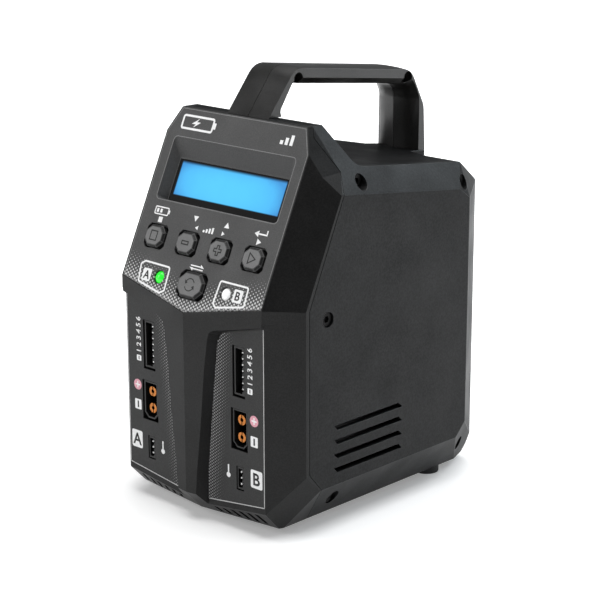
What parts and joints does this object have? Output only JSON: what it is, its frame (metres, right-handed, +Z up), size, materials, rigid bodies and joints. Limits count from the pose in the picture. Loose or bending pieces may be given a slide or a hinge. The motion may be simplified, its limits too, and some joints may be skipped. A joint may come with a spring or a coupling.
{
  "type": "balance battery charger",
  "caption": "Upright dark battery charger with a sloping control face, blue display, keys, recessed battery ports, side vents and a fixed carrying handle.",
  "frame": {"origin": "middle of the footprint on the table, under the rubber feet", "axes": "+X to the right of a person facing the control panel, +Y from front to rear, +Z up"},
  "size_m": [0.103, 0.1352, 0.1801],
  "materials": {
    "case_plastic": "fine moulded grain, near black charcoal",
    "handle_plastic": "smooth satin, near black",
    "panel_plastic": "satin, mid grey with pale print",
    "key_plastic": "satin grey with raised signs",
    "label_film": "dark film with white print",
    "connector_plastic": "black nylon",
    "gold_contact": "gold plated",
    "tinned_pin": "tin plated",
    "black_screw": "black oxide",
    "rubber": "soft black rubber",
    "display_window": "clear window over a lit blue display",
    "display_glass": "blue backlit display glass",
    "display_frame": "folded steel frame",
    "green_lens": "clear green lens",
    "white_lens": "milky white lens",
    "circuit_board": "green solder mask",
    "ferrite": "dark ferrite",
    "capacitor_sleeve": "dark sleeve",
    "transistor_case": "moulded black",
    "heatsink_aluminium": "extruded",
    "brass_pillar": "turned brass",
    "fan_plastic": "black"
  },
  "bodies": {
    "case": {"ac_inlet": "connector_plastic", "ac_pins": "tinned_pin", "balance_header_a": "connector_plastic", "balance_header_b": "connector_plastic", "balance_pins_a": "tinned_pin", "balance_pins_b": "tinned_pin", "base_plate": "case_plastic", "board_pillars": "brass_pillar", "board_screws": "black_screw", "bulk_capacitors": "capacitor_sleeve", "case_screws": "black_screw", "charger_board": "circuit_board", "control_board": "circuit_board", "dc_contacts": "gold_contact", "dc_input": "connector_plastic", "fan_frame": "fan_plastic", "fan_guard": "fan_plastic", "fan_screws": "black_screw", "filter_capacitors": "capacitor_sleeve", "front_cover": "case_plastic", "handle_left_half": "handle_plastic", "handle_right_half": "handle_plastic", "handle_screws": "black_screw", "heatsinks": "heatsink_aluminium", "inductors": "ferrite", "key_switches": "connector_plastic", "lcd_board": "circuit_board", "lcd_frame": "display_frame", "lcd_glass": "display_glass", "lcd_window": "display_window", "left_side_cover": "case_plastic", "mains_choke": "ferrite", "output_contacts_a": "gold_contact", "output_contacts_b": "gold_contact", "output_socket_a": "connector_plastic", "output_socket_b": "connector_plastic", "panel_face": "panel_plastic", "port_board_a": "circuit_board", "port_board_b": "circuit_board", "port_label_a": "label_film", "port_label_b": "label_film", "power_board": "circuit_board", "rear_panel": "case_plastic", "right_side_cover": "case_plastic", "rubber_feet": "rubber", "status_light_a": "green_lens", "status_light_b": "white_lens", "temperature_header_a": "connector_plastic", "temperature_header_b": "connector_plastic", "temperature_pins_a": "tinned_pin", "temperature_pins_b": "tinned_pin", "top_cover": "case_plastic", "transformer": "ferrite", "transistors": "transistor_case"},
    "stop_key": {"stop_button": "key_plastic"},
    "minus_key": {"minus_button": "key_plastic"},
    "plus_key": {"plus_button": "key_plastic"},
    "start_key": {"start_button": "key_plastic"},
    "channel_key": {"channel_button": "key_plastic"},
    "fan_wheel": {"fan_rotor": "fan_plastic"}
  },
  "joints": [
    {"name": "stop_key_press", "type": "slide", "parent": "case", "child": "stop_key", "axis": [0, 0.9045, -0.4264], "range_m": [0, 0.0008], "stiffness_N_per_m": 400},
    {"name": "minus_key_press", "type": "slide", "parent": "case", "child": "minus_key", "axis": [0, 0.9045, -0.4264], "range_m": [0, 0.0008], "stiffness_N_per_m": 400},
    {"name": "plus_key_press", "type": "slide", "parent": "case", "child": "plus_key", "axis": [0, 0.9045, -0.4264], "range_m": [0, 0.0008], "stiffness_N_per_m": 400},
    {"name": "start_key_press", "type": "slide", "parent": "case", "child": "start_key", "axis": [0, 0.9045, -0.4264], "range_m": [0, 0.0008], "stiffness_N_per_m": 400},
    {"name": "channel_key_press", "type": "slide", "parent": "case", "child": "channel_key", "axis": [0, 0.9045, -0.4264], "range_m": [0, 0.0008], "stiffness_N_per_m": 400},
    {"name": "fan_spin", "type": "hinge", "parent": "case", "child": "fan_wheel", "pos_m": [0, 0.0577, 0.088], "axis": [0, 1, 0], "continuous": true}
  ]
}
